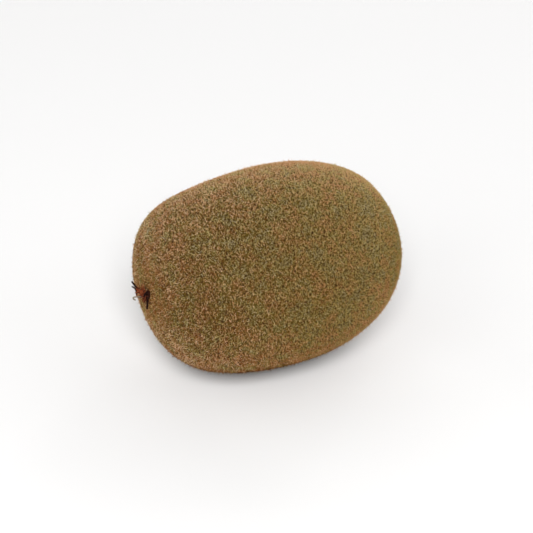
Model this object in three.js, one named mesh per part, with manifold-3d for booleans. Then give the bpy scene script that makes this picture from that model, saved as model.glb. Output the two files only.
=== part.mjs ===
// A whole green kiwi fruit lying on its side, in millimetres, +Z up.
// The origin is the centre of the small flat spot that the fruit rests on.
// The stem end faces +X and the blossom end, with its dried styles, faces -X.

import * as THREE from 'three';
import { mergeVertices } from 'three/addons/utils/BufferGeometryUtils.js';
import Module from 'manifold-3d';

const wasm = await Module();
wasm.setup();

// ---- the fruit ----
const halfLength = 32.9;
const halfWidth = 25.6; // along Y, before the taper
const halfHeight = 24.2; // along Z, before the taper
const taper = { square: 0.15, cube: -0.17, fourth: 0.22 }; // blunter at the blossom end than at the stem end
const bow = { side: -0.8, sideSkew: -0.4, rise: -0.64, riseSkew: 0.72 }; // how the axis bends off straight
const lumps = [
  { waves: 3, size: 0.007, phase: 1.36 },
  { waves: 4, size: 0.011, phase: -1.03 },
];
const axisCentre = { x: 1.7, y: 0.6, z: 24.45 }; // the middle of the axis, seen from the resting spot
const nub = { height: 0.45, radius: 3.0 }; // low swelling round the dried styles
const dimple = { depth: 1.3, radius: 6.5 }; // hollow round the stalk scar
const aroundFruit = 72;
const alongFruit = 58;
const polesCloser = 0.72; // 0 spaces the rings evenly, 1 crowds them at the poles

// ---- what sits in the fruit's two ends ----
const clearance = 0.3; // between one piece and the next
const stylesSocket = { radius: 1.5, depth: 1.0 };
const calyxSocket = { radius: 2.7, depth: 1.1 };

// ---- dried styles ----
const stylesCore = { domeHeight: 0.55, shoulderHeight: 0.4, sides: 14 };
const strand = { rootRadius: 0.38, tipRadius: 0.3, rootSink: 0.7, sides: 5, steps: 7 };
const shortStrands = { count: 13, seed: 11, ring: 0.72, shortest: 1.3, longest: 2.5, spread: 1.5, curl: 0.9 };
// Each long strand passes through its points: how far out from the skin, along +Y and up, from the pole.
const longStrands = [
  [[0.3, 0.4, 0.5], [1.3, 1.3, 1.9], [1.9, 2.3, 2.9], [2.1, 3.1, 3.8]],
  [[0.4, 0.6, -0.1], [1.2, 1.2, -0.5], [1.9, 1.8, 0.5], [2.2, 2.7, 2.0]],
  [[0.4, 0.2, -0.4], [1.3, 0.6, -1.0], [2.2, 1.0, -1.4], [2.5, 1.7, -0.7]],
  [[0.3, -0.3, -0.5], [0.9, -0.9, -1.2], [0.9, -1.3, -2.1], [0.7, -1.6, -3.1]],
  [[0.3, -0.5, 0.2], [1.0, -1.2, 0.7], [1.3, -1.1, 1.6], [0.9, -0.3, 1.9]],
];

// ---- dried calyx ----
const scar = { radius: 2.4, edgeHeight: 0.94, rimRadius: 1.8, rimHeight: 1.15, hollow: 0.4, sides: 24 };
const sepalRoot = { distance: 1.5, width: 2.4 };
const sepalShape = { width: 3.4, tipWidth: 1.3, thickness: 0.65, lift: 0.12, cup: 0.15, rows: 8, columns: 4 };
// Whole sepals and broken ones: which way each points, how far it reaches, and how its tip lifts and swings.
const sepals = [
  { turn: 0.25, length: 3.9, curl: 0.9, swing: 0.5 },
  { turn: 1.45, length: 2.0, curl: 0.4, swing: -0.3 },
  { turn: 2.7, length: 3.4, curl: 0.5, swing: -0.6 },
  { turn: 3.95, length: 4.2, curl: 0.3, swing: 0.5 },
  { turn: 5.2, length: 1.7, curl: 0.6, swing: 0.2 },
];

const trimBlock = { side: 30, depth: 2 }; // what is cut away under the resting spot

// ---- materials ----
const skinMaterial = new THREE.MeshStandardMaterial({ color: 0x765f3a, roughness: 0.95, metalness: 0 });
const stylesMaterial = new THREE.MeshStandardMaterial({ color: 0x3a1f17, roughness: 0.85, metalness: 0 });
const calyxMaterial = new THREE.MeshStandardMaterial({ color: 0x6b4a2c, roughness: 0.9, metalness: 0 });

// Numbers from 0 to 1 that are the same on each run.
function seededRandom(seed) {
  let state = seed;
  return () => {
    state = (state + 0x6d2b79f5) | 0;
    let mixed = Math.imul(state ^ (state >>> 15), 1 | state);
    mixed = (mixed + Math.imul(mixed ^ (mixed >>> 7), 61 | mixed)) ^ mixed;
    return ((mixed ^ (mixed >>> 14)) >>> 0) / 4294967296;
  };
}

// How full the outline is at a place along the axis, from -1 at the blossom end to 1 at the stem end.
function fullnessAt(along) {
  return 1 + taper.square * along ** 2 + taper.cube * along ** 3 + taper.fourth * along ** 4;
}

// The skin at an angle from the stem pole and a turn about the axis, which starts at +Y.
function skinPoint(polar, turn) {
  const along = Math.cos(polar);
  const inward = Math.sin(polar);
  const fullness = fullnessAt(along);
  const bulge = lumps.reduce((sum, lump) => sum + lump.size * Math.cos(lump.waves * turn + lump.phase), 0);
  const spread = inward * fullness * (1 + inward ** 2 * bulge);
  const across = halfWidth * spread * Math.cos(turn);
  const up = halfHeight * spread * Math.sin(turn);
  const fromAxis = Math.hypot(across, up);
  const swelling = -nub.height * Math.exp(-((fromAxis / nub.radius) ** 2));
  const hollow = -dimple.depth * Math.exp(-((fromAxis / dimple.radius) ** 2));
  return new THREE.Vector3(
    axisCentre.x + halfLength * along + (along > 0 ? hollow : swelling),
    axisCentre.y + across + (bow.side + bow.sideSkew * along) * inward ** 2,
    axisCentre.z + up + (bow.rise + bow.riseSkew * along) * inward ** 2,
  );
}

// The angle from the nearer pole at which the skin is this far from the axis.
function polarAt(distance, poleSign) {
  const endBreadth = fullnessAt(poleSign) * Math.sqrt(halfWidth * halfHeight);
  const angle = Math.asin(Math.min(1, distance / endBreadth));
  return poleSign > 0 ? angle : Math.PI - angle;
}

// A closed body through rings of points, each ring turning anticlockwise about the way the rings run.
function closedTube(rings, startCap, endCap) {
  const sides = rings[0].length;
  const points = [startCap, ...rings.flat(), endCap];
  const last = points.length - 1;
  const at = (ring, side) => 1 + ring * sides + (side % sides);
  const index = [];
  for (let side = 0; side < sides; side++) {
    index.push(0, at(0, side + 1), at(0, side));
    for (let ring = 0; ring < rings.length - 1; ring++) {
      index.push(at(ring, side), at(ring, side + 1), at(ring + 1, side + 1));
      index.push(at(ring, side), at(ring + 1, side + 1), at(ring + 1, side));
    }
    index.push(last, at(rings.length - 1, side), at(rings.length - 1, side + 1));
  }
  const geometry = new THREE.BufferGeometry().setFromPoints(points);
  geometry.setIndex(index);
  return geometry;
}

function middleOf(ring) {
  return ring.reduce((sum, point) => sum.add(point), new THREE.Vector3()).divideScalar(ring.length);
}

function toManifold(geometry) {
  const bare = geometry.clone();
  bare.deleteAttribute('normal');
  bare.deleteAttribute('uv');
  const merged = mergeVertices(bare, 1e-5);
  return new wasm.Manifold(new wasm.Mesh({
    numProp: 3,
    vertProperties: new Float32Array(merged.attributes.position.array),
    triVerts: new Uint32Array(merged.index.array),
  }));
}

function toGeometry(solid) {
  const mesh = solid.getMesh();
  const geometry = new THREE.BufferGeometry();
  geometry.setAttribute('position', new THREE.BufferAttribute(mesh.vertProperties, mesh.numProp));
  geometry.setIndex(new THREE.BufferAttribute(mesh.triVerts, 1));
  return geometry;
}

function fuse(geometries) {
  return geometries.map(toManifold).reduce((joined, solid) => joined.add(solid));
}

function namedMesh(name, geometry, material) {
  geometry.computeVertexNormals();
  const mesh = new THREE.Mesh(geometry, material);
  mesh.name = name;
  return mesh;
}

// The fruit: its skin, a socket at each pole for what sits there, and the flat spot.
function buildFruitBody() {
  const blossomRim = polarAt(stylesSocket.radius, -1);
  const stemRim = polarAt(calyxSocket.radius, 1);
  const ringAt = (polar, sink) => Array.from({ length: aroundFruit }, (_, side) => {
    const point = skinPoint(polar, (2 * Math.PI * side) / aroundFruit);
    point.x += sink;
    return point;
  });
  const rings = [ringAt(blossomRim, stylesSocket.depth)];
  for (let i = 0; i <= alongFruit; i++) {
    const even = i / alongFruit;
    const eased = even - (polesCloser * Math.sin(2 * Math.PI * even)) / (2 * Math.PI);
    rings.push(ringAt(THREE.MathUtils.lerp(blossomRim, stemRim, eased), 0));
  }
  rings.push(ringAt(stemRim, -calyxSocket.depth));
  const whole = toManifold(closedTube(rings, middleOf(rings[0]), middleOf(rings.at(-1))));

  const trim = new THREE.BoxGeometry(trimBlock.side, trimBlock.side, trimBlock.depth)
    .translate(0, 0, -trimBlock.depth / 2);
  return toGeometry(whole.subtract(toManifold(trim)));
}

// A rod that thins from its root to its tip.
function strandAlong(points, rootRadius, tipRadius) {
  const curve = new THREE.CatmullRomCurve3(points, false, 'centripetal');
  const frames = curve.computeFrenetFrames(strand.steps, false);
  const rings = [];
  for (let i = 0; i <= strand.steps; i++) {
    const centre = curve.getPointAt(i / strand.steps);
    const radius = THREE.MathUtils.lerp(rootRadius, tipRadius, i / strand.steps);
    rings.push(Array.from({ length: strand.sides }, (_, side) => {
      const angle = (2 * Math.PI * side) / strand.sides;
      return centre.clone()
        .addScaledVector(frames.normals[i], radius * Math.cos(angle))
        .addScaledVector(frames.binormals[i], radius * Math.sin(angle));
    }));
  }
  return closedTube(rings, curve.getPointAt(0), curve.getPointAt(1));
}

// The dried styles: a low button in the blossom end's socket, with curled strands growing from it.
function buildDriedStyles() {
  const pole = skinPoint(Math.PI, 0);
  const place = ([out, side, up]) => new THREE.Vector3(pole.x - out, pole.y + side, pole.z + up);
  const radius = stylesSocket.radius - clearance;
  const bottom = stylesSocket.depth - clearance;
  const { domeHeight, shoulderHeight, sides } = stylesCore;
  const profile = [
    [0, -bottom], [radius, -bottom], [radius, 0], [radius * 0.72, shoulderHeight], [0, domeHeight],
  ];
  const core = new THREE.LatheGeometry(profile.map(([x, y]) => new THREE.Vector2(x, y)), sides)
    .rotateZ(Math.PI / 2)
    .translate(pole.x, pole.y, pole.z);

  const rods = longStrands.map((points) => {
    const root = [-strand.rootSink, points[0][1] * 0.4, points[0][2] * 0.4];
    return strandAlong([root, ...points].map(place), strand.rootRadius, strand.tipRadius);
  });
  const random = seededRandom(shortStrands.seed);
  for (let i = 0; i < shortStrands.count; i++) {
    const turn = (2 * Math.PI * (i + 0.6 * random())) / shortStrands.count;
    const length = THREE.MathUtils.lerp(shortStrands.shortest, shortStrands.longest, random());
    const lean = shortStrands.spread * (0.25 + 0.75 * random());
    const bend = shortStrands.curl * (random() - 0.5) * 2;
    const ring = shortStrands.ring * (0.35 + 0.65 * random());
    const point = (out, reach, swing) => place([
      out,
      reach * Math.cos(turn) - swing * Math.sin(turn),
      reach * Math.sin(turn) + swing * Math.cos(turn),
    ]);
    rods.push(strandAlong([
      point(-strand.rootSink, ring * 0.6, 0),
      point(0.3, ring, 0),
      point(length * 0.6, ring + lean * 0.5, bend * 0.5),
      point(length * 0.75, ring + lean, bend),
    ], strand.rootRadius, strand.tipRadius));
  }
  return toGeometry(fuse([core, ...rods]));
}

// How wide a sepal is from its root (0) to its tip (1): widest halfway, then narrowing to a blunt tip.
function sepalWidth(t) {
  if (t < 0.5) return THREE.MathUtils.lerp(sepalRoot.width, sepalShape.width, Math.sin(Math.PI * t));
  return THREE.MathUtils.lerp(sepalShape.width, sepalShape.tipWidth, (2 * t - 1) ** 2);
}

// One dry sepal: a thin blade that lies over the skin from the scar outwards and lifts at its tip.
function sepalBlade({ turn, length, curl, swing }) {
  const bladePoint = (t, acrossBlade, height) => {
    const reach = sepalRoot.distance + length * t;
    const sideways = (sepalWidth(t) / 2) * acrossBlade + swing * t * t;
    const point = skinPoint(polarAt(Math.hypot(reach, sideways), 1), turn + Math.atan2(sideways, reach));
    point.x += clearance + sepalShape.lift + height + curl * t ** 3 + sepalShape.cup * acrossBlade ** 2;
    return point;
  };
  const { rows, columns, thickness } = sepalShape;
  const rings = [];
  for (let row = 0; row <= rows; row++) {
    const edgeToEdge = Array.from({ length: columns + 1 }, (_, column) => 1 - (2 * column) / columns);
    rings.push([
      ...edgeToEdge.map((acrossBlade) => bladePoint(row / rows, acrossBlade, thickness)),
      ...edgeToEdge.toReversed().map((acrossBlade) => bladePoint(row / rows, acrossBlade, 0)),
    ]);
  }
  return closedTube(rings, bladePoint(0, 0, thickness / 2), bladePoint(1, 0, thickness / 2));
}

// The dried calyx: the stalk's round scar in the stem end's socket, with five sepals growing from its edge.
function buildDriedCalyx() {
  const pole = skinPoint(0, 0);
  const bottom = calyxSocket.depth - clearance;
  const profile = [
    [0, -bottom], [scar.radius, -bottom], [scar.radius, scar.edgeHeight], [scar.rimRadius, scar.rimHeight],
    [scar.rimRadius * 0.6, scar.rimHeight - scar.hollow * 0.8], [0, scar.rimHeight - scar.hollow],
  ];
  const disc = new THREE.LatheGeometry(profile.map(([x, y]) => new THREE.Vector2(x, y)), scar.sides)
    .rotateZ(-Math.PI / 2)
    .translate(pole.x, pole.y, pole.z);
  return toGeometry(fuse([disc, ...sepals.map(sepalBlade)]));
}

const fruit = new THREE.Group();
fruit.add(
  namedMesh('fruit_body', buildFruitBody(), skinMaterial),
  namedMesh('dried_styles', buildDriedStyles(), stylesMaterial),
  namedMesh('dried_calyx', buildDriedCalyx(), calyxMaterial),
);

export default fruit;
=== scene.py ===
import math
import random

import bmesh
import bpy
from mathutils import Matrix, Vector, noise
from mathutils.bvhtree import BVHTree


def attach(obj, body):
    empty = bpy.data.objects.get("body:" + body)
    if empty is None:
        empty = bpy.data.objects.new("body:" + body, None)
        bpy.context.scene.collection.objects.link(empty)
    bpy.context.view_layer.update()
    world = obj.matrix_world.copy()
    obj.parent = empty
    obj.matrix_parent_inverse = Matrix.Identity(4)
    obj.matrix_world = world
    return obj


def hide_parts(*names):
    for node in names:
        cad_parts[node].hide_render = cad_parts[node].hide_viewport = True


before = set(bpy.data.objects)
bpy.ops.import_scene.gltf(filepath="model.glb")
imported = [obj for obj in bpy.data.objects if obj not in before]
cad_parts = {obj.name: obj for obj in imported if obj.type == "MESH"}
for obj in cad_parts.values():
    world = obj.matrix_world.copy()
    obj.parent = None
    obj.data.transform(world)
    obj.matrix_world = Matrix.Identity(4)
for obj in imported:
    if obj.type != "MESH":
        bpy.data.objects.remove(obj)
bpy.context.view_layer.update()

mm = 0.001
fruitPlace = {
    "poleSide": 0.6 * mm,  # both ends' centres, across the fruit
    "poleHeight": 24.45 * mm,
    "middle": 1.0 * mm,  # along the fruit
    "blossomPole": -31.65 * mm,
    "stemPole": 33.3 * mm,
    "beyondStem": 60 * mm,
    "socketDepth": 1.0 * mm,  # the calyx bridges what is deeper than this
}


class Wire:  # one output of a node; arithmetic on it adds Math nodes
    def __init__(self, book, socket):
        self.book = book
        self.socket = socket

    def math(self, operation, *values):
        return self.book.node("ShaderNodeMath", {"operation": operation}, dict(enumerate(values)))

    def __add__(self, other):
        return self.math("ADD", self, other)

    def __sub__(self, other):
        return self.math("SUBTRACT", self, other)

    def __rsub__(self, other):
        return self.math("SUBTRACT", other, self)

    def __mul__(self, other):
        return self.math("MULTIPLY", self, other)

    def __pow__(self, other):
        return self.math("POWER", self, other)

    def __lt__(self, other):
        return self.math("LESS_THAN", self, other)

    def __gt__(self, other):
        return self.math("GREATER_THAN", self, other)

    __radd__ = __add__
    __rmul__ = __mul__

    def absolute(self):
        return self.math("ABSOLUTE", self)

    def atLeast(self, low):
        return self.math("MAXIMUM", self, low)

    def out(self, name):  # another output of the same node
        return Wire(self.book, self.socket.node.outputs[name])


class NodeBook:  # writes nodes into one tree
    def __init__(self, tree):
        self.tree = tree

    def node(self, kind, settings=None, inputs=None, output=0):
        made = self.tree.nodes.new(kind)
        for name, value in (settings or {}).items():
            if name == "stops":
                self.setStops(made.color_ramp, value)
            else:
                setattr(made, name, value)
        for key, value in (inputs or {}).items():
            if isinstance(value, Wire):
                self.tree.links.new(value.socket, made.inputs[key])
            else:
                made.inputs[key].default_value = value
        return Wire(self, made.outputs[output]) if made.outputs else None

    def setStops(self, ramp, stops):
        while len(ramp.elements) < len(stops):
            ramp.elements.new(1.0)
        for element, (place, colour) in zip(ramp.elements, stops):
            element.position = place
            element.color = (*colour, 1.0)

    def ramp(self, factor, stops):
        return self.node("ShaderNodeValToRGB", {"stops": stops}, {0: factor})

    def mixColour(self, factor, first, second):
        first, second = (mixed if isinstance(mixed, Wire) else (*mixed, 1.0) for mixed in (first, second))
        return self.node("ShaderNodeMix", {"data_type": "RGBA"}, {0: factor, 6: first, 7: second}, output=2)

    def vector(self, operation, *inputs):
        return self.node("ShaderNodeVectorMath", {"operation": operation}, dict(enumerate(inputs)))

    def dot(self, first, second):
        return self.vector("DOT_PRODUCT", first, second).out("Value")

    def scaled(self, vector, amount):
        return self.node("ShaderNodeVectorMath", {"operation": "SCALE"}, {0: vector, 3: amount})

    def joined(self, *parts):
        return self.node("ShaderNodeCombineXYZ", None, dict(enumerate(parts)))

    def split(self, vector):  # its X; Y and Z are the node's other outputs
        return self.node("ShaderNodeSeparateXYZ", None, {0: vector})

    def noise(self, vector, size, detail=2.0, roughness=0.5):
        inputs = {"Vector": vector, "Scale": 1 / size, "Detail": detail, "Roughness": roughness}
        return self.node("ShaderNodeTexNoise", None, inputs)

    def smoothStep(self, value, low, high):
        settings = {"interpolation_type": "SMOOTHSTEP"}
        return self.node("ShaderNodeMapRange", settings, {0: value, 1: low, 2: high})

    def bump(self, height, strength, distance):
        inputs = {"Strength": strength, "Distance": distance, "Height": height}
        return self.node("ShaderNodeBump", None, inputs)


def linear(*screenColour):  # a screen colour of 0 to 255 as the light it stands for
    shares = [channel / 255 for channel in screenColour]
    return tuple(share / 12.92 if share < 0.0404 else ((share + 0.055) / 1.055) ** 2.4 for share in shares)


def newMaterial(name, fixed):
    material = bpy.data.materials.new(name)
    material.use_nodes = True
    shader = material.node_tree.nodes["Principled BSDF"]
    for socket, value in fixed.items():
        shader.inputs[socket].default_value = value
    return material, NodeBook(material.node_tree), shader


def feed(book, shader, socket, wire):
    book.tree.links.new(wire.socket, shader.inputs[socket])


def newPiece(name, mesh, material=None):
    piece = bpy.data.objects.new(name, mesh)
    bpy.context.scene.collection.objects.link(piece)
    if material:
        mesh.materials.append(material)
    return piece


def applyModifiers(piece):
    graph = bpy.context.evaluated_depsgraph_get()
    mesh = bpy.data.meshes.new_from_object(piece.evaluated_get(graph), depsgraph=graph)
    piece.modifiers.clear()
    old = piece.data
    piece.data = mesh
    bpy.data.meshes.remove(old)


def uneven(*place):  # smooth noise, about -1 to 1
    return noise.noise(Vector(place))


skinLook = {
    "darkBrown": linear(52, 31, 2),
    "olive": linear(82, 62, 12),
    "greyGreen": linear(82, 72, 26),
    "rust": linear(92, 50, 10),
    "mottleSize": 0.7 * mm,
    "patchSize": 7 * mm,
    "patchStrength": 0.6,
    "rustSize": 1.54 * mm,
    "rustStrength": 0.5,
    "poreSize": 0.28 * mm,
    "poreDepth": 0.15 * mm,
    "unevenness": 0.12 * mm,
    "unevenSize": 9 * mm,
    "flatEnough": 0.6,  # two triangles within these angles become one face of four sides
    "squareEnough": 1.2,
}


def skinMaterial(look):
    material, book, shader = newMaterial("kiwiSkin", {"Roughness": 0.9, "Specular IOR Level": 0.25})
    place = book.node("ShaderNodeTexCoord").out("Object")
    patches = book.smoothStep(book.noise(place, look["patchSize"], 3.0), 0.5, 0.75)
    mottle = book.noise(place, look["mottleSize"], 3.0, 0.6)
    pores = book.noise(place, look["poreSize"], 2.0, 0.6)
    rust = book.smoothStep(book.noise(place, look["rustSize"], 2.0), 0.6, 0.72)
    tone = book.mixColour(book.smoothStep(mottle, 0.35, 0.65), look["darkBrown"], look["olive"])
    tone = book.mixColour(patches * look["patchStrength"], tone, look["greyGreen"])
    tone = book.mixColour(rust * look["rustStrength"], tone, look["rust"])
    feed(book, shader, "Base Color", tone)
    feed(book, shader, "Normal", book.bump(pores + mottle, 0.6, look["poreDepth"]))
    return material


def buildSkin(look):
    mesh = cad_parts["fruit_body"].data.copy()
    sheet = bmesh.new()
    sheet.from_mesh(mesh)
    bmesh.ops.remove_doubles(sheet, verts=sheet.verts, dist=mm / 1000)
    bmesh.ops.join_triangles(
        sheet, faces=sheet.faces,
        angle_face_threshold=look["flatEnough"], angle_shape_threshold=look["squareEnough"],
    )
    sheet.to_mesh(mesh)
    sheet.free()
    mesh.materials.clear()
    piece = newPiece("kiwi_skin", mesh, skinMaterial(look))
    finer = piece.modifiers.new("finer", "SUBSURF")
    finer.levels = finer.render_levels = 1
    applyModifiers(piece)
    outward = [vertex.normal.copy() for vertex in piece.data.vertices]
    for vertex, normal in zip(piece.data.vertices, outward):
        vertex.co += normal * uneven(*(vertex.co / look["unevenSize"])) * look["unevenness"]
        vertex.co.z = max(vertex.co.z, 0)
    piece.data.shade_smooth()
    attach(piece, "root")
    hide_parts("fruit_body")
    return piece


# What both Geometry Nodes trees share.
def startTree(name, inputs, result):  # the names are the inputs' identifiers, for the modifier
    tree = bpy.data.node_groups.new(name, "GeometryNodeTree")
    names = {}
    for label, kind in inputs.items():
        socket = tree.interface.new_socket(label, in_out="INPUT", socket_type="NodeSocket" + kind)
        names[label] = socket.identifier
    tree.interface.new_socket(result, in_out="OUTPUT", socket_type="NodeSocketGeometry")
    book = NodeBook(tree)
    return book, names, book.node("NodeGroupInput")


def stored(book, geometry, name, value):
    inputs = {"Geometry": geometry, "Name": name, "Value": value}
    return book.node("GeometryNodeStoreNamedAttribute", {"data_type": "FLOAT", "domain": "POINT"}, inputs)


def read(book, name):
    return book.node("GeometryNodeInputNamedAttribute", {"data_type": "FLOAT"}, {"Name": name})


def storedUv(book, geometry, u, v):  # kept inside the square, as the export asks
    inside = [book.node("ShaderNodeClamp", None, {0: value, 1: 0.01, 2: 0.99}) for value in (u, v)]
    inputs = {"Geometry": geometry, "Name": "OFBake", "Value": book.joined(*inside)}
    return book.node("GeometryNodeStoreNamedAttribute", {"data_type": "FLOAT2", "domain": "CORNER"}, inputs)


def without(book, geometry, *names):
    for name in names:
        geometry = book.node("GeometryNodeRemoveAttribute", None, {"Geometry": geometry, "Name": name})
    return geometry


def endTree(book, geometry, given):
    inputs = {"Geometry": geometry, "Material": given.out("Material")}
    book.node("NodeGroupOutput", None, {0: book.node("GeometryNodeSetMaterial", None, inputs)})


def grow(piece, book, names, values):  # replaces the piece's mesh by what the tree makes of it
    modifier = piece.modifiers.new("grown", "NODES")
    modifier.node_group = book.tree
    for name, value in values.items():
        modifier[names[name]] = value
    applyModifiers(piece)
    piece.data.materials.clear()
    piece.data.materials.append(values["Material"])


stylesLook = {
    # Each strand passes through its points: how far out from the end, along +Y and up, in mm.
    # A shade is 0 for the blackest and 1 for the greyest.
    "longStrands": [
        {
            "shade": 0.52, "radius": 0.25,
            "points": [(-0.6, 0.2, 0.2), (0.9, 0.9, 0.9), (1.7, 2.1, 1.8), (2.3, 3.2, 3.0)],
        }, {
            "shade": 0.5, "radius": 0.22,
            "points": [(-0.6, 0.3, -0.1), (0.9, 1.2, -0.8), (1.6, 1.96, -0.7),
                       (1.9, 1.8, 1.3), (2.5, 2.7, 1.9)],
        }, {
            "shade": 0.98, "radius": 0.2,
            "points": [(-0.6, 0.2, -0.2), (1.3, 0.8, -0.3), (2.2, 1.5, -0.5),
                       (2.6, 2.0, -0.9), (2.5, 1.9, -1.3), (2.3, 1.4, -1.3)],
        }, {
            "shade": 0.04, "radius": 0.3,
            "points": [(-0.6, -0.3, 0.1), (0.5, -1.4, 0.9), (0.6, -1.85, 0.1),
                       (0.5, -1.45, -1.5), (0.4, -0.95, -3.0)],
        }, {
            "shade": 0.02, "radius": 0.27,
            "points": [(-0.6, -0.2, 0.0), (0.6, -0.4, -0.35), (0.8, -0.65, 0.8),
                       (0.7, -1.5, 1.9), (0.6, -2.2, 2.6), (0.5, -2.6, 1.9)],
        }, {
            "shade": 0.2, "radius": 0.25,
            "points": [(-0.6, -0.4, 0.1), (0.5, -1.3, 1.1), (0.5, -2.0, 2.7),
                       (0.4, -2.7, 2.3), (0.5, -2.6, 1.2), (0.6, -2.0, 0.5)],
        }, {
            "shade": 0.1, "radius": 0.24,
            "points": [(-0.6, -0.1, 0.1), (0.7, -0.8, 0.5), (0.9, -1.2, 1.3), (0.8, -2.0, 1.7)],
        }, {
            "shade": 0.62, "radius": 0.2,
            "points": [(-0.6, 0.2, 0.3), (0.8, 0.7, 1.2), (1.5, 1.0, 1.2), (1.9, 1.5, 1.7)],
        }, {
            "shade": 0.66, "radius": 0.2,
            "points": [(-0.6, 0.3, 0.1), (0.9, 1.0, 0.6), (1.7, 1.1, 0.9), (2.0, 1.8, 0.5)],
        },
    ],
    "shortStyles": {
        "count": 22, "seed": 5, "ring": 0.8 * mm, "radius": 0.16 * mm,
        "shortest": 1.0 * mm, "longest": 2.2 * mm,
        "lean": 0.45, "tilt": (0.1, 0.8), "curl": 0.9, "shade": (0.3, 0.66),
    },
    "stamens": {
        "count": 50, "seed": 9, "ring": 1.0 * mm, "radius": 0.08 * mm,
        "shortest": 1.0 * mm, "longest": 2.4 * mm,
        "lean": 0.65, "tilt": (0.1, 0.9), "curl": 0.9, "shade": (0.4, 0.82),
    },
    "growth": {
        "steps": 8,
        "innermost": 0.35,  # a strand's place, as a share of its ring
        "sunk": 0.25 * mm,
        "clear": 0.1 * mm,  # of the end's plane, outwards
        "turning": 2.2,
        "jitter": 0.07,
        "radii": (0.75, 1.15),
    },
    "sides": 7,
    "resolution": 3,
    "tipShare": 0.75,  # of the radius
    "lumps": {"size": 0.35 * mm, "thinnest": 0.8, "by": 0.4},
    "outwards": {"from": -31.6 * mm, "darker": 4.0},  # by this over a metre
    "button": {
        "radius": 0.7 * mm, "height": 0.4 * mm, "crown": 0.32 * mm, "foot": 0.9 * mm,
        "ribs": 12, "ribDepth": 0.12, "sides": 48, "rings": 9,
        "shade": {"centre": 0.04, "edge": 0.2, "most": 0.3},
        "along": {"centre": 0.3, "edge": 0.6, "most": 0.7},  # as a strand's share of its length
    },
    "streaks": {"across": 30.0, "along": 9.0, "strength": 0.3, "shades": (0.1, 0.5)},
    "tipReach": (0.45, 0.7),  # a strand darkens between these shares of its length
    "tipLeast": 0.25,  # how much, for most shades
    "darkTips": (0.5, 0.04),  # the shades around the first number, within the second, darken more
    "paleTips": 0.85,  # the shades over this don't darken at all
    "tip": linear(22, 11, 7),
    "streak": linear(150, 96, 70),
    "shades": [
        (0.0, linear(24, 8, 5)),
        (0.15, linear(36, 13, 8)),
        (0.35, linear(66, 30, 16)),
        (0.6, linear(128, 56, 28)),
        (0.8, linear(184, 108, 66)),
        (0.9, linear(158, 138, 112)),
        (1.0, linear(118, 116, 104)),
    ],
}


def stylesMaterial(look):
    material, book, shader = newMaterial("driedStyles", {"Roughness": 0.8, "Specular IOR Level": 0.05})
    shade = book.split(book.node("ShaderNodeUVMap", {"uv_map": "OFBake"}))
    along = shade.out("Y")
    colour = book.ramp(shade, look["shades"])
    streaks = look["streaks"]
    bands = book.joined(shade * streaks["across"], along * streaks["along"])
    streak = book.smoothStep(book.noise(bands, 1.0, 3.0, 0.6), 0.35, 0.7)
    streaked = streak * book.smoothStep(shade, *streaks["shades"]) * streaks["strength"]
    colour = book.mixColour(streaked, colour, look["streak"])
    middle, reach = look["darkTips"]
    darkened = book.smoothStep((shade - middle).absolute(), reach, reach / 2)
    tip = book.smoothStep(along, *look["tipReach"]) * (look["tipLeast"] + darkened * (1 - look["tipLeast"]))
    colour = book.mixColour(tip * (shade < look["paleTips"]), colour, look["tip"])
    feed(book, shader, "Base Color", colour)
    return material


def strandTree(look):
    inputs = {
        "Paths": "Geometry", "Sides": "Int", "Resolution": "Int", "Tip share": "Float",
        "Material": "Material",
    }
    book, names, given = startTree("strandsAlongPaths", inputs, "Strands")
    curves = book.node("GeometryNodeMeshToCurve", None, {0: given})
    curves = book.node("GeometryNodeCurveSplineType", {"spline_type": "CATMULL_ROM"}, {0: curves})
    inputs = {"Geometry": curves, "Resolution": given.out("Resolution")}
    curves = book.node("GeometryNodeSetSplineResolution", None, inputs)
    along = book.node("GeometryNodeSplineParameter")
    curves = stored(book, curves, "along", along)
    lumps = look["lumps"]
    place = book.node("GeometryNodeInputPosition")
    lumpy = lumps["thinnest"] + book.noise(place, lumps["size"], 1.0) * lumps["by"]
    thinning = 1 - along * along * (1 - given.out("Tip share"))
    inputs = {"Resolution": given.out("Sides"), "Radius": 1.0}
    ring = book.node("GeometryNodeCurvePrimitiveCircle", {"mode": "RADIUS"}, inputs)
    scale = read(book, "thick") * thinning * lumpy
    inputs = {"Curve": curves, "Profile Curve": ring, "Scale": scale, "Fill Caps": True}
    strands = book.node("GeometryNodeCurveToMesh", None, inputs)
    outwards = look["outwards"]["from"] - book.split(book.node("GeometryNodeInputPosition"))
    shade = read(book, "shade") - outwards * look["outwards"]["darker"]
    strands = storedUv(book, strands, shade, read(book, "along"))
    strands = without(book, strands, "thick", "shade", "along")
    strands = book.node("GeometryNodeRealizeInstances", None, {"Geometry": strands})
    endTree(book, strands, given)
    return book, names


def blossomPlace(out, side, up):  # a point near the blossom end's centre, from distances in metres
    pole = Vector((fruitPlace["blossomPole"], fruitPlace["poleSide"], fruitPlace["poleHeight"]))
    return pole + Vector((-out, side, up))


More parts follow.
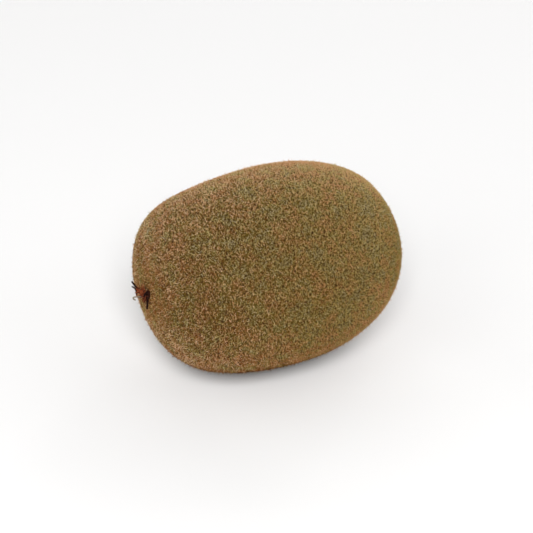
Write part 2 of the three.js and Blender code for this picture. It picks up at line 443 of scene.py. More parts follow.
def curledPath(draw, kind, growth):  # a strand that grows from the button's edge and curls as it goes
    turn = draw.uniform(0, 2 * math.pi)
    ring = kind["ring"] * draw.uniform(growth["innermost"], 1.0)
    length = draw.uniform(kind["shortest"], kind["longest"]) + growth["sunk"]
    point = blossomPlace(-growth["sunk"], ring * math.cos(turn), ring * math.sin(turn))
    side, up = kind["tilt"]
    side += kind["lean"] * math.cos(turn)
    up += kind["lean"] * math.sin(turn)
    heading = Vector((-1, side, up)).normalized()
    bending = Vector((draw.gauss(0, 1), draw.gauss(0, 1), draw.gauss(0, 1))).normalized() * kind["curl"]
    path = [point.copy()]
    for _ in range(growth["steps"]):
        point = point + heading * length / growth["steps"]
        point.x = min(point.x, fruitPlace["blossomPole"] - growth["clear"])
        path.append(point.copy())
        turned = bending.cross(heading) * growth["turning"] / growth["steps"]
        shaken = Vector([draw.gauss(0, growth["jitter"]) for _ in range(3)])
        heading = (heading + turned + shaken).normalized()
    return path


def strandPaths(look):  # points, radius and shade of every strand
    paths = []
    for strand in look["longStrands"]:
        points = [blossomPlace(*(Vector(point) * mm)) for point in strand["points"]]
        paths.append((points, strand["radius"] * mm, strand["shade"]))
    for kind in (look["shortStyles"], look["stamens"]):
        draw = random.Random(kind["seed"])
        for _ in range(kind["count"]):
            points = curledPath(draw, kind, look["growth"])
            radius = kind["radius"] * draw.uniform(*look["growth"]["radii"])
            paths.append((points, radius, draw.uniform(*kind["shade"])))
    return paths


def buildStyles(look):
    verts, edges, thick, shade = [], [], [], []
    for points, radius, darkness in strandPaths(look):
        first = len(verts)
        verts += points
        edges += [(first + i, first + i + 1) for i in range(len(points) - 1)]
        thick += [radius] * len(points)
        shade += [darkness] * len(points)
    mesh = bpy.data.meshes.new("styles")
    mesh.from_pydata(verts, edges, [])
    for name, values in (("thick", thick), ("shade", shade)):
        mesh.attributes.new(name, "FLOAT", "POINT").data.foreach_set("value", values)
    piece = newPiece("styles_tuft", mesh)
    book, names = strandTree(look)
    grow(piece, book, names, {
        "Sides": look["sides"], "Resolution": look["resolution"], "Tip share": look["tipShare"],
        "Material": stylesMaterial(look),
    })
    addButton(piece.data, look["button"])
    piece.data.shade_smooth()
    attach(piece, "root")
    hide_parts("dried_styles")
    return piece


def growing(value, share):  # from the centre to the edge
    return min(value["most"], value["centre"] + (value["edge"] - value["centre"]) * share)


def addButton(mesh, button):  # the low ribbed button that the styles grow from
    sheet = bmesh.new()
    sheet.from_mesh(mesh)
    layer = sheet.loops.layers.uv["OFBake"]
    sides, rings = button["sides"], button["rings"]
    rows = []
    for ring in range(1, rings + 1):
        share = ring / rings
        row = []
        for side in range(sides):
            turn = 2 * math.pi * side / sides
            rib = 1 + button["ribDepth"] * math.cos(button["ribs"] * turn) * share
            reach = button["radius"] * share * rib
            out = button["height"] * (1 - share ** 3) * rib - (button["foot"] if ring == rings else 0)
            row.append(sheet.verts.new(blossomPlace(out, reach * math.cos(turn), reach * math.sin(turn))))
        rows.append(row)
    top = sheet.verts.new(blossomPlace(button["crown"], 0, 0))
    bottom = sheet.verts.new(blossomPlace(-button["foot"], 0, 0))
    faces = []
    for side in range(sides):
        after = (side + 1) % sides
        faces.append(sheet.faces.new((top, rows[0][after], rows[0][side])))
        for inner, outer in zip(rows, rows[1:]):
            faces.append(sheet.faces.new((inner[side], inner[after], outer[after], outer[side])))
        faces.append(sheet.faces.new((bottom, rows[-1][side], rows[-1][after])))
    for face in faces:
        for loop in face.loops:
            share = (loop.vert.co - top.co).length / button["radius"]
            loop[layer].uv = (growing(button["shade"], share), growing(button["along"], share))
    sheet.normal_update()
    sheet.to_mesh(mesh)
    sheet.free()


calyxLook = {
    "scar": {
        "radius": 2.35 * mm,
        "outOfRound": 0.05,
        "rimRadius": 1.75 * mm,
        "rimHeight": 1.12 * mm,
        "rimWidth": 0.32 * mm,
        "shoulder": 0.82,  # the height outside the rim, as a share of the rim's
        "hollow": 0.5 * mm,
        "base": 0.75 * mm,
        "fibreSize": 0.22 * mm,
        "fibreHeight": 0.16 * mm,
        "rimFibres": 0.4,  # the fibres' height on the rim, as a share of that in the hollow
        "sides": 72,
        "rings": 16,
    },
    "root": {"distance": 1.5 * mm, "width": 2.4 * mm},
    "blade": {
        "rows": 26,
        "columns": 14,
        "width": 3.4 * mm,
        "tipWidth": 0.7 * mm,
        "thickness": 0.2 * mm,
        "thinEdge": 0.6,  # the share of the thickness that the edge has lost
        "above": 0.34 * mm,  # the skin
        "cup": 0.22 * mm,
        "wholeTear": 0.42 * mm,  # how uneven a whole tip and a broken one are
        "brokenTear": 0.96 * mm,
        "tearWaves": 2.5,
        "raggedSides": 0.15,
        "sideWaves": 6,
        "largeFolds": 0.256 * mm,
        "foldWaves": (3.2, 1.6),  # along the blade and across it
        "smallFolds": 0.096 * mm,
        "smaller": 2.7,  # how many times smaller they are
        "foldsFrom": 0.4,  # the folds are full from this share of the length
        "midrib": 0.12 * mm,
        "midribWidth": 0.12,  # in halves of the width
        "veins": 0.048 * mm,
        "veinSpacing": 11,
    },
    "sepals": [
        {"turn": 0.25, "length": 3.9 * mm, "curl": 0.9 * mm, "swing": 0.5 * mm, "broken": False},
        {"turn": 1.45, "length": 2.0 * mm, "curl": 0.4 * mm, "swing": -0.3 * mm, "broken": True},
        {"turn": 2.7, "length": 3.4 * mm, "curl": 0.5 * mm, "swing": -0.6 * mm, "broken": False},
        {"turn": 3.95, "length": 4.2 * mm, "curl": 0.3 * mm, "swing": 0.5 * mm, "broken": False},
        {"turn": 5.2, "length": 1.7 * mm, "curl": 0.6 * mm, "swing": 0.2 * mm, "broken": True},
    ],
    "veinsAcross": 7.0,
    "veinsAlong": 1.2,
    "grainSize": 0.5 * mm,
    "paperyGrain": 0.7,
    "paperyTip": 0.5,
    "pithSize": 0.22 * mm,
    "darkRim": 0.7,
    "bumpDepth": 0.1 * mm,
    "brown": linear(118, 82, 50),
    "darkBrown": linear(70, 44, 26),
    "papery": linear(166, 132, 90),
    "cork": linear(178, 150, 112),
    "corkDark": linear(86, 62, 42),
}


def calyxMaterial(look):
    material, book, shader = newMaterial("driedCalyx", {"Roughness": 0.85, "Specular IOR Level": 0.25})
    place = book.node("ShaderNodeTexCoord").out("Object")
    along, across, cork = (
        book.node("ShaderNodeAttribute", {"attribute_name": name}, output="Fac")
        for name in ("along", "across", "cork")
    )
    grain = book.noise(place, look["grainSize"], 4.0, 0.6)
    veinPlace = book.joined(across * look["veinsAcross"], along * look["veinsAlong"])
    veins = book.smoothStep(book.noise(veinPlace, 1.0, 2.0), 0.42, 0.6)
    blade = book.mixColour(veins, look["darkBrown"], look["brown"])
    blade = book.mixColour(book.smoothStep(grain, 0.45, 0.75) * look["paperyGrain"], blade, look["papery"])
    blade = book.mixColour(book.smoothStep(along, 0.75, 1.0) * look["paperyTip"], blade, look["papery"])
    pith = book.noise(place, look["pithSize"], 3.0, 0.7)
    scar = book.mixColour(book.smoothStep(pith, 0.4, 0.6), look["corkDark"], look["cork"])
    scar = book.mixColour(book.smoothStep(along, 0.65, 0.85) * look["darkRim"], scar, look["darkBrown"])
    feed(book, shader, "Base Color", book.mixColour(cork, blade, scar))
    feed(book, shader, "Normal", book.bump(grain + pith * 0.5, 0.7, look["bumpDepth"]))
    return material


def stemPlace(skinSheet, turn, reach, sideways, height):  # a point over the skin near the stem end's centre
    distance = math.hypot(reach, sideways)
    angle = turn + math.atan2(sideways, reach)
    side = fruitPlace["poleSide"] + distance * math.cos(angle)
    up = fruitPlace["poleHeight"] + distance * math.sin(angle)
    hit = skinSheet.ray_cast(Vector((fruitPlace["beyondStem"], side, up)), Vector((-1, 0, 0)))[0]
    skinX = max(hit.x, fruitPlace["stemPole"] - fruitPlace["socketDepth"])
    return Vector((skinX + height, side, up))


def sepalWidth(t, root, blade):
    if t < 0.5:
        return root["width"] + (blade["width"] - root["width"]) * math.sin(math.pi * t)
    return blade["width"] + (blade["tipWidth"] - blade["width"]) * (2 * t - 1) ** 2


def sepalSpot(look, sepal, index, t, across):  # how far out and sideways, and the height over and under it
    root, blade = look["root"], look["blade"]
    tear = blade["brokenTear"] if sepal["broken"] else blade["wholeTear"]
    torn = uneven(across * blade["tearWaves"], index * 7.3, 0) * tear  # the index makes each sepal differ
    reach = root["distance"] + (sepal["length"] + torn) * t
    rag = 1 + uneven(t * blade["sideWaves"], index * 3.1, across) * blade["raggedSides"]
    sideways = sepalWidth(t, root, blade) / 2 * across * rag + sepal["swing"] * t * t
    lengthwise, crosswise = blade["foldWaves"]
    spot = Vector((t * lengthwise, across * crosswise, index * 5.7))
    fold = uneven(*spot) * blade["largeFolds"] + uneven(*(spot * blade["smaller"])) * blade["smallFolds"]
    under = blade["above"] + sepal["curl"] * t ** 3 + blade["cup"] * across ** 2
    under += fold * min(1, t / blade["foldsFrom"])
    vein = blade["midrib"] * math.exp(-(across / blade["midribWidth"]) ** 2)
    vein += blade["veins"] * math.cos(across * blade["veinSpacing"])
    edge = max(abs(across) ** 6, t ** 12)
    over = under + vein * (1 - t) + blade["thickness"] * (1 - blade["thinEdge"] * edge)
    return reach, sideways, over, under


def buildSepal(sheet, layers, look, sepal, index, skinSheet):
    rows, columns = look["blade"]["rows"], look["blade"]["columns"]
    upper, lower = {}, {}
    for grid, side in ((upper, 0), (lower, 1)):
        for row in range(rows + 1):
            for column in range(columns + 1):
                t = row / rows
                across = 2 * column / columns - 1
                reach, sideways, *heights = sepalSpot(look, sepal, index, t, across)
                spot = stemPlace(skinSheet, sepal["turn"], reach, sideways, heights[side])
                vert = sheet.verts.new(spot)
                vert[layers["along"]] = t
                vert[layers["across"]] = across + index * 3  # no two sepals have the same veins
                grid[row, column] = vert
    for row in range(rows):
        for column in range(columns):
            corners = [(row, column), (row + 1, column), (row + 1, column + 1), (row, column + 1)]
            sheet.faces.new([upper[corner] for corner in corners])
            sheet.faces.new([lower[corner] for corner in reversed(corners)])
    border = [(row, 0) for row in range(rows)]
    border += [(rows, column) for column in range(columns)]
    border += [(row, columns) for row in range(rows, 0, -1)]
    border += [(0, column) for column in range(columns, 0, -1)]
    for spot, following in zip(border, border[1:] + border[:1]):
        sheet.faces.new((upper[spot], lower[spot], lower[following], upper[following]))


def scarSpot(scar, ring, side):  # a point of the scar, from its centre, and its share of the radius
    share = ring / (scar["rings"] - 1)
    turn = 2 * math.pi * side / scar["sides"]
    way = Vector((0, math.cos(turn), math.sin(turn)))
    waver = uneven(*(way * 1.7 + Vector((3, 0, share * 2))))
    share = min(share, 1.0)
    reach = scar["radius"] * share * (1 + scar["outOfRound"] * waver)
    if ring == scar["rings"]:  # the foot, under the edge
        return way * reach + Vector((-scar["base"], 0, 0)), share
    rim = math.exp(-((reach - scar["rimRadius"]) / scar["rimWidth"]) ** 2)
    bowl = 1 - min(1, reach / scar["rimRadius"]) ** 4
    fibres = uneven(*(way.yzx * reach / scar["fibreSize"] + Vector((0, 0, 9)))) * scar["fibreHeight"]
    height = scar["rimHeight"] * (scar["shoulder"] + (1 - scar["shoulder"]) * rim)
    height += fibres * (scar["rimFibres"] + (1 - scar["rimFibres"]) * bowl) - scar["hollow"] * bowl
    return way * reach + Vector((height, 0, 0)), share


def buildScar(sheet, layers, scar):
    centre = Vector((fruitPlace["stemPole"], fruitPlace["poleSide"], fruitPlace["poleHeight"]))
    rows = []
    for ring in range(1, scar["rings"] + 1):
        row = []
        for side in range(scar["sides"]):
            spot, share = scarSpot(scar, ring, side)
            vert = sheet.verts.new(centre + spot)
            vert[layers["along"]] = share
            vert[layers["cork"]] = 1.0
            row.append(vert)
        rows.append(row)
    for height, row in ((scar["rimHeight"] - scar["hollow"], rows[0]), (-scar["base"], rows[-1])):
        middle = sheet.verts.new(centre + Vector((height, 0, 0)))
        middle[layers["cork"]] = 1.0
        for side in range(scar["sides"]):
            sheet.faces.new((middle, row[side], row[(side + 1) % scar["sides"]]))
    for inner, outer in zip(rows, rows[1:]):
        for side in range(scar["sides"]):
            after = (side + 1) % scar["sides"]
            sheet.faces.new((inner[side], outer[side], outer[after], inner[after]))


def buildCalyx(look, skinSheet):
    sheet = bmesh.new()
    layers = {name: sheet.verts.layers.float.new(name) for name in ("along", "across", "cork")}
    buildScar(sheet, layers, look["scar"])
    for index, sepal in enumerate(look["sepals"]):
        buildSepal(sheet, layers, look, sepal, index, skinSheet)
    bmesh.ops.recalc_face_normals(sheet, faces=sheet.faces)
    mesh = bpy.data.meshes.new("calyx")
    sheet.to_mesh(mesh)
    sheet.free()
    piece = newPiece("calyx_and_scar", mesh, calyxMaterial(look))
    mesh.shade_smooth()
    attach(piece, "root")
    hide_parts("dried_calyx")
    return piece


def joinedCopy(name, pieces):  # one short-lived object of several pieces, which the hairs keep clear of
    sheet = bmesh.new()
    for piece in pieces:
        sheet.from_mesh(piece.data)
    mesh = bpy.data.meshes.new(name)
    sheet.to_mesh(mesh)
    sheet.free()
    return newPiece(name, mesh)


fuzzLook = {
    "stops": (0.0, 0.25, 0.6, 1.0),  # the tones of the four colours in each list
    "rusts": [linear(90, 38, 6), linear(130, 76, 20), linear(193, 146, 99), linear(218, 180, 144)],
    "tans": [linear(75, 40, 1), linear(121, 80, 15), linear(186, 151, 99), linear(214, 186, 147)],
    "olives": [linear(60, 44, 0), linear(106, 85, 6), linear(175, 156, 92), linear(204, 190, 137)],
    "greys": [linear(54, 40, 8), linear(100, 84, 32), linear(169, 153, 109), linear(200, 188, 155)],
    # The hues over which each list takes over from the last.
    "takeOver": {"tans": (0.1, 0.4), "olives": (0.5, 0.7), "greys": (0.75, 0.92)},
    "sheen": 0.1,
    "sheenTint": linear(240, 196, 140),
}
undercoat = {
    "name": "fuzz_under",
    "pieces": 4,
    "seed": 10,
    "inputs": {
        "Apart": 0.33 * mm,  # least distance between two roots
        "Side Segments": 1,
        "Shortest": 0.4 * mm,
        "Longest": 0.8 * mm,
        "Width": 0.17 * mm,
        "Least lift": 0.3,
        "Most lift": 1.1,
        "Droop": 0.0,
        "Tone": 0.44,
    },
}
outerCoat = {
    "name": "fuzz_outer",
    "pieces": 1,
    "seed": 50,
    "inputs": {
        "Apart": 0.56 * mm,
        "Side Segments": 2,
        "Shortest": 0.6 * mm,
        "Longest": 1.3 * mm,
        "Width": 0.19 * mm,
        "Least lift": 0.2,
        "Most lift": 1.7,
        "Droop": 0.5,
        "Tone": 0.6,
    },
}
fuzzRule = {
    "crowding": 12,  # trial roots for each square mm
    "bareBlossom": 0.9 * mm,  # no hair this near to the end's centre
    "bareStem": 2.6 * mm,
    "keepOff": 0.45 * mm,  # from the dried pieces
    "ridgeSize": 0.4 * mm,  # the hairs lie along fine ridges, which are darker or paler as a whole
    "ridgeStretch": (1.6, 0.85, 0.85),  # the ridges are shorter along the fruit than around it
    "ridgeShare": 0.7,  # how much of a hair's way is its ridge's; the rest is its own
    "slopeStep": 0.1,  # the slope is measured over this share of the ridges' size
    "shortAtStem": 0.4,  # the length beside the stem end's scar, as a share
    "widths": (0.7, 1.2),
    "twist": 0.5,  # how far a hair is turned round its own axis
    "rootBack": 0.4,  # of a hair's length, so that its middle is over its place
    "sink": 0.06 * mm,
    "lowest": 0.01 * mm,
}
fuzzTones = {  # a hair's tone is 0 for the darkest and 1 for the palest
    "paintedLightWay": (0.2, 0.4, 0.9),  # painted light from above: the hairs turn paler this way
    "paintedLightOver": 24 * mm,
    "paintedLightBy": 0.08,
    "paintedTopLightReach": (0.55, 1.0),  # painted top light: paler still from the first to the second share of that distance
    "paintedTopLightBy": 0.075,
    "endShadeReach": (16 * mm, 30 * mm),  # painted shade: darker from the first to the second distance, at both ends
    # But only in the middle of an end: from none at the first height, to full at the next two, to none.
    "endShadeHeights": (18 * mm, 5 * mm, 1 * mm, -12 * mm),
    "paintedEndShadeBy": 0.12,
    "floorShadeReach": (10 * mm, 4.5 * mm),  # painted shade near the floor: darker from the first height to the second
    "paintedFloorShadeBy": 0.5,
    "ridgeTone": 0.4,  # how much the ridges differ
    "eachTone": 0.14,  # how much one hair differs from the next
    "rareTone": 0.38,  # and how much more the few very dark and very pale ones do
    "unlikeWay": (-0.88, 0.47, 0.0),  # all of these differences grow this way, from none to the most
    "unlikeReach": (-26 * mm, 24 * mm),  # from the fruit's middle
    "mostUnlike": 1.75,
    "evenRing": (11 * mm, 5 * mm),  # and shrink from the first to the second distance from the styles
    "evenBy": 0.45,
    "rootShadeTipLightBy": 0.36,  # painted shade at a hair's root and painted light at its tip: the tip is paler than the root by this
}
fuzzHues = {  # a hair's hue goes from 0 for rust, over tan and olive, to 1 for grey
    "usual": 0.3,
    "eachHue": 0.2,
    "speckSize": 1.1 * mm,
    "speckHue": 1.6,
    "patchSize": 4 * mm,
    "patchHue": 1.5,
    "greenWay": (0.17, -0.74, 0.65),  # the hairs turn greener this way
    "greenOver": 27 * mm,
    "greenReach": (0.1, 0.95),  # from the first to the second share of that distance
    "greenerBy": 0.33,
    # the ends' painted shade is also greener by this
    "endShadeGreenerBy": 0.15,
    "rustyRing": (4.5 * mm, 1.5 * mm),  # redder from the first to the second distance from the styles
    "rustierBy": 0.4,
    # painted top light also turns the top's hairs redder by this
    "paintedTopLightRedderBy": 0.06,
}


def fuzzMaterial(look):
    material, book, shader = newMaterial("kiwiFuzz", {
        "Roughness": 0.75, "Specular IOR Level": 0.15,
        "Sheen Weight": look["sheen"], "Sheen Roughness": 0.5, "Sheen Tint": (*look["sheenTint"], 1.0),
    })
    tone = book.split(book.node("ShaderNodeUVMap", {"uv_map": "OFBake"}))
    hue = tone.out("Y")
    colour = book.ramp(tone, list(zip(look["stops"], look["rusts"])))
    for name, reach in look["takeOver"].items():
        others = book.ramp(tone, list(zip(look["stops"], look[name])))
        colour = book.mixColour(book.smoothStep(hue, *reach), colour, others)
    feed(book, shader, "Base Color", colour)
    return material


class Draws:  # a tree's random values: each has a number of its own, and all change with the seed
    def __init__(self, book, seed):
        self.book = book
        self.seed = seed * 17  # further apart than the numbers reach

    def between(self, number, low, high):
        inputs = {2: low, 3: high, "Seed": self.seed + number}
        return self.book.node("FunctionNodeRandomValue", {"data_type": "FLOAT"}, inputs, output=1)

    def anyWay(self, number):
        inputs = {0: (-1.0, -1.0, -1.0), 1: (1.0, 1.0, 1.0), "Seed": self.seed + number}
        return self.book.node("FunctionNodeRandomValue", {"data_type": "FLOAT_VECTOR"}, inputs)


def rootPlace(book, rule):  # where a root is on the fruit
    place = book.node("GeometryNodeInputPosition")
    along = book.split(place)
    height = along.out("Z")
    across = along.out("Y") - fruitPlace["poleSide"]
    above = height - fruitPlace["poleHeight"]
    return {
        "place": place,
        "along": along,
        "height": height,
        "above": above,
        "fromAxis": (across * across + above * above) ** 0.5,
        "atStem": along > 0.0,
        "ridge": ridgeAt(book, rule, place),
    }


def ridgeAt(book, rule, place):
    return book.noise(book.vector("MULTIPLY", place, rule["ridgeStretch"]), rule["ridgeSize"], 0.0)


def bareSkin(book, rule, root, driedPieces):  # 1 where no hair grows
    bare = rule["bareBlossom"] + root["atStem"] * (rule["bareStem"] - rule["bareBlossom"])
    dried = book.node("GeometryNodeObjectInfo", None, {"Object": driedPieces}, output="Geometry")
    toDried = book.node("GeometryNodeProximity", {"target_element": "FACES"}, {0: dried}, output="Distance")
    return (root["fromAxis"] < bare) + (toDried < rule["keepOff"]) > 0.5


def flatWay(book, rule, root, normal, draws):  # the way that a hair takes along the skin
    slopes = []
    for axis in range(3):
        step = [0.0, 0.0, 0.0]
        step[axis] = rule["ridgeSize"] * rule["slopeStep"]
        slopes.append(ridgeAt(book, rule, book.vector("ADD", root["place"], step)) - root["ridge"])
    alongRidge = book.vector("NORMALIZE", book.vector("CROSS_PRODUCT", normal, book.joined(*slopes)))
    either = (draws.between(8, 0.0, 1.0) < 0.5) * 2.0 - 1.0  # 1 or -1
    alongRidge = book.scaled(alongRidge, either * rule["ridgeShare"])
    way = book.vector("ADD", alongRidge, book.scaled(draws.anyWay(1), 1 - rule["ridgeShare"]))
    outwards = book.scaled(normal, book.dot(way, normal))
    return book.vector("NORMALIZE", book.vector("SUBTRACT", way, outwards))


def hairLength(book, rule, root, given, draws):
    fromScar = book.smoothStep(root["fromAxis"], rule["bareStem"], 3 * rule["bareStem"])
    shorter = 1 - root["atStem"] * (1 - fromScar) * (1 - rule["shortAtStem"])
    return draws.between(4, given.out("Shortest"), given.out("Longest")) * shorter


def hairColour(book, tones, hues, root, coatTone, draws):  # a hair's tone and hue
    fromMiddle = book.vector("SUBTRACT", root["place"], (0.0, 0.0, fruitPlace["poleHeight"]))

    def shareAlong(way, distance):
        return book.dot(fromMiddle, [part / distance for part in way])

    # Painted light: the hairs are paler towards the top, and paler still over the top.
    paintedLightShare = shareAlong(tones["paintedLightWay"], tones["paintedLightOver"])
    paintedTopLight = book.smoothStep(paintedLightShare, *tones["paintedTopLightReach"])
    fromCentre = (root["along"] - fruitPlace["middle"]).absolute()
    # Painted shade on the middle of both ends.
    top, highest, lowest, bottom = tones["endShadeHeights"]
    atEndShadeHeights = book.smoothStep(root["above"], top, highest) - book.smoothStep(root["above"], lowest, bottom)
    paintedEndShade = book.smoothStep(fromCentre, *tones["endShadeReach"]) * atEndShadeHeights
    # Painted shade near the floor.
    paintedFloorShade = book.smoothStep(root["height"], *tones["floorShadeReach"])
    # the painted light, added to the tone
    paler = paintedLightShare * tones["paintedLightBy"] + paintedTopLight * tones["paintedTopLightBy"]
    # the painted shade, on the middle of both ends and near the floor, taken from the tone
    darker = paintedEndShade * tones["paintedEndShadeBy"] + paintedFloorShade * tones["paintedFloorShadeBy"]

    each = draws.between(6, -1.0, 1.0)
    differing = (root["ridge"] - 0.5) * tones["ridgeTone"]
    differing = differing + each * tones["eachTone"] + each * each * each * tones["rareTone"]
    atBlossom = 1 - root["atStem"]
    evened = book.smoothStep(root["fromAxis"], *tones["evenRing"]) * atBlossom * tones["evenBy"]
    unlike = book.smoothStep(book.dot(fromMiddle, tones["unlikeWay"]), *tones["unlikeReach"])
    tone = coatTone + paler - darker + differing * unlike * tones["mostUnlike"] * (1 - evened)

    specks = (book.noise(root["place"], hues["speckSize"], 2.0) - 0.5) * hues["speckHue"]
    patches = (book.noise(root["place"], hues["patchSize"], 1.0) - 0.5) * hues["patchHue"]
    green = book.smoothStep(shareAlong(hues["greenWay"], hues["greenOver"]), *hues["greenReach"])
    rusty = book.smoothStep(root["fromAxis"], *hues["rustyRing"]) * atBlossom
    # the ends' painted shade also turns the hairs greener
    greener = green * hues["greenerBy"] + paintedEndShade * hues["endShadeGreenerBy"]
    # the rust by the styles is the hairs' own; the top's redder hue goes with its painted light
    redder = rusty * hues["rustierBy"] + paintedTopLight * hues["paintedTopLightRedderBy"]
    ownHue = draws.between(7, -hues["eachHue"], hues["eachHue"])
    hue = hues["usual"] + specks + patches + greener - redder + ownHue
    return tone, hue


def oneHair(book, given):  # of three sides, along Z from 0 to 1
    hair = book.node("GeometryNodeMeshCone", {"fill_type": "NGON"}, {
        "Vertices": 3, "Side Segments": given.out("Side Segments"), "Radius Top": 0.0, "Radius Bottom": 0.5,
        "Depth": 1.0,
    })
    along = book.split(book.node("GeometryNodeInputPosition")).out("Z")
    hair = stored(book, hair, "along", along)
    drooping = book.joined(along * along * given.out("Droop") * -1.0)
    return book.node("GeometryNodeSetPosition", None, {"Geometry": hair, "Offset": drooping})


def overFloor(book, coat, lowest):
    place = book.split(book.node("GeometryNodeInputPosition"))
    raised = book.joined(place, place.out("Y"), place.out("Z").atLeast(lowest))
    return book.node("GeometryNodeSetPosition", None, {"Geometry": coat, "Position": raised})


def fuzzTree(rule, tones, hues):
    inputs = {
        "Skin": "Geometry", "Dried pieces": "Object", "Material": "Material", "Seed": "Int",
        "Side Segments": "Int", "Apart": "Float", "Shortest": "Float", "Longest": "Float", "Width": "Float",
        "Least lift": "Float", "Most lift": "Float", "Droop": "Float", "Tone": "Float",
    }
    book, names, given = startTree("fuzzOnSkin", inputs, "Fuzz")
    draws = Draws(book, given.out("Seed"))
    root = rootPlace(book, rule)
    spread = book.node("GeometryNodeDistributePointsOnFaces", {"distribute_method": "POISSON"}, {
        "Mesh": given, "Distance Min": given.out("Apart"), "Density Max": rule["crowding"] / mm / mm,
        "Seed": given.out("Seed"),
    })
    bare = bareSkin(book, rule, root, given.out("Dried pieces"))
    inputs = {"Geometry": spread, "Selection": bare}
    roots = book.node("GeometryNodeDeleteGeometry", {"domain": "POINT"}, inputs)

    normal = spread.out("Normal")
    flat = flatWay(book, rule, root, normal, draws)
    lift = draws.between(2, given.out("Least lift"), given.out("Most lift"))
    way = book.vector("ADD", flat, book.scaled(normal, lift))
    upSide = book.vector("ADD", normal, book.scaled(draws.anyWay(3), rule["twist"]))
    settings = {"primary_axis": "Z", "secondary_axis": "X"}
    turned = book.node("FunctionNodeAxesToRotation", settings, {0: way, 1: upSide})
    length = hairLength(book, rule, root, given, draws)
    width = given.out("Width") * draws.between(5, *rule["widths"])
    sunk = book.scaled(normal, -rule["sink"])
    moved = book.vector("ADD", sunk, book.scaled(flat, length * -rule["rootBack"]))
    tone, hue = hairColour(book, tones, hues, root, given.out("Tone"), draws)

    points = book.node("GeometryNodeSetPosition", None, {"Geometry": roots, "Offset": moved})
    points = stored(book, points, "tone", tone)
    points = stored(book, points, "hue", hue)
    coat = book.node("GeometryNodeInstanceOnPoints", None, {
        "Points": points, "Instance": oneHair(book, given), "Rotation": turned,
        "Scale": book.joined(width, width, length),
    })
    coat = book.node("GeometryNodeRealizeInstances", None, {"Geometry": coat})
    # Painted shade at each hair's root and painted light at its tip.
    rootShadeTipLight = (read(book, "along") - 0.5) * tones["rootShadeTipLightBy"]
    coat = storedUv(book, coat, read(book, "tone") + rootShadeTipLight, read(book, "hue"))
    coat = without(book, coat, "tone", "hue", "along")
    coat = overFloor(book, coat, rule["lowest"])
    endTree(book, coat, given)
    return book, names


def buildCoat(coat, skin, book, names, material, dried):
    for index in range(coat["pieces"]):
        piece = newPiece(f"{coat['name']}_{index + 1}", skin.data.copy())
        grow(piece, book, names, {
            **coat["inputs"], "Seed": coat["seed"] + index, "Material": material, "Dried pieces": dried,
        })
        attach(piece, "root")
        triangles = sum(len(face.vertices) - 2 for face in piece.data.polygons)
        print("fuzz piece", piece.name, triangles, "triangles")


stageLook = {"white": (0.88, 0.875, 0.872), "width": 2.2}
lightLook = {
    "ambient": 0.14,
    "seenBehind": 0.8,  # added where the camera looks past the floor
    "white": (1.0, 0.995, 0.99),
    "lamps": {
        "front": {"power": 12.4, "size": 0.5, "place": (-0.38, -0.8, 0.82)},
        "frontLeft": {"power": 3.2, "size": 0.9, "place": (-1.0, -0.35, 0.6)},
        "leftLow": {"power": 1.0, "size": 0.8, "place": (-1.1, 0.2, 0.2)},
        "frontLow": {"power": 0.8, "size": 1.2, "place": (-0.5, -0.95, 0.4)},
        "right": {"power": 2.8, "size": 0.9, "place": (0.8, -0.65, 0.42)},
        "backLeft": {"power": 2.7, "size": 0.9, "place": (-0.8, 0.75, 0.5)},
        "backRight": {"power": 3.3, "size": 0.9, "place": (0.95, 0.3, 0.45)},
        "behind": {"power": 6.7, "size": 1.2, "place": (0.5, 0.95, 0.35)},
    },
}
cameraLook = {
    "turn": math.radians(27.95),
    "elevation": math.radians(32),
    "lens": 135,
    "sensor": 36,
    "distance": 0.4905,
    "aimAlong": 1.7 * mm,  # a place on the fruit's axis, which the aim is to the left of and under
    "aimRight": -0.79 * mm,
    "aimUp": -1.28 * mm,
}


def buildStage(look):
    half = look["width"] / 2
    mesh = bpy.data.meshes.new("floor")
    corners = [(-half, -half, 0), (half, -half, 0), (half, half, 0), (-half, half, 0)]
    mesh.from_pydata(corners, [], [(0, 1, 2, 3)])
    fixed = {"Base Color": (*look["white"], 1.0), "Roughness": 0.9, "Specular IOR Level": 0.1}
    newPiece("floor", mesh, newMaterial("paleFloor", fixed)[0])


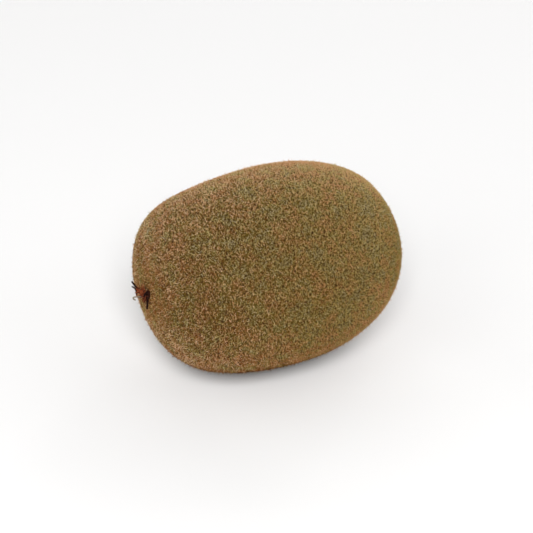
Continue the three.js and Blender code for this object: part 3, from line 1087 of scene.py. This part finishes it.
def buildLights(look):
    world = bpy.data.worlds.new("softTent")
    world.use_nodes = True
    background = world.node_tree.nodes["Background"]
    background.inputs["Color"].default_value = (*look["white"], 1.0)
    book = NodeBook(world.node_tree)
    seen = book.node("ShaderNodeLightPath", output="Is Camera Ray")
    feed(book, background, "Strength", seen * look["seenBehind"] + look["ambient"])
    bpy.context.scene.world = world
    for name, softBox in look["lamps"].items():
        lamp = bpy.data.lights.new(name, "AREA")
        lamp.energy = softBox["power"]
        lamp.size = softBox["size"]
        holder = bpy.data.objects.new(name, lamp)
        holder.location = softBox["place"]
        holder.rotation_euler = (-holder.location).to_track_quat("-Z", "Y").to_euler()
        bpy.context.scene.collection.objects.link(holder)


def buildCamera(look):
    turn, elevation = look["turn"], look["elevation"]
    level = math.cos(elevation)
    toCamera = Vector((-math.sin(turn) * level, -math.cos(turn) * level, math.sin(elevation)))
    right = Vector((math.cos(turn), -math.sin(turn), 0))
    up = toCamera.cross(right)
    onAxis = Vector((look["aimAlong"], fruitPlace["poleSide"], fruitPlace["poleHeight"]))
    aim = onAxis + right * look["aimRight"] + up * look["aimUp"]
    camera = bpy.data.cameras.new("camera")
    camera.lens = look["lens"]
    camera.sensor_width = look["sensor"]
    camera.clip_start = 0.01
    viewer = bpy.data.objects.new("camera", camera)
    viewer.location = aim + toCamera * look["distance"]
    viewer.rotation_euler = (-toCamera).to_track_quat("-Z", "Y").to_euler()
    bpy.context.scene.collection.objects.link(viewer)
    bpy.context.scene.camera = viewer


buildStage(stageLook)
buildLights(lightLook)
buildCamera(cameraLook)
bpy.context.scene.view_settings.view_transform = "Standard"
print("stage done")
skin = buildSkin(skinLook)
print("skin done", len(skin.data.polygons), "faces")
skinSheet = BVHTree.FromObject(skin, bpy.context.evaluated_depsgraph_get())
styles = buildStyles(stylesLook)
print("styles done", len(styles.data.polygons), "faces")
calyx = buildCalyx(calyxLook, skinSheet)
print("calyx done", len(calyx.data.polygons), "faces")
fuzzBook, fuzzNames = fuzzTree(fuzzRule, fuzzTones, fuzzHues)
fuzz = fuzzMaterial(fuzzLook)
dried = joinedCopy("dried", [styles, calyx])
buildCoat(undercoat, skin, fuzzBook, fuzzNames, fuzz, dried)
buildCoat(outerCoat, skin, fuzzBook, fuzzNames, fuzz, dried)
bpy.data.objects.remove(dried)
print("fuzz done")
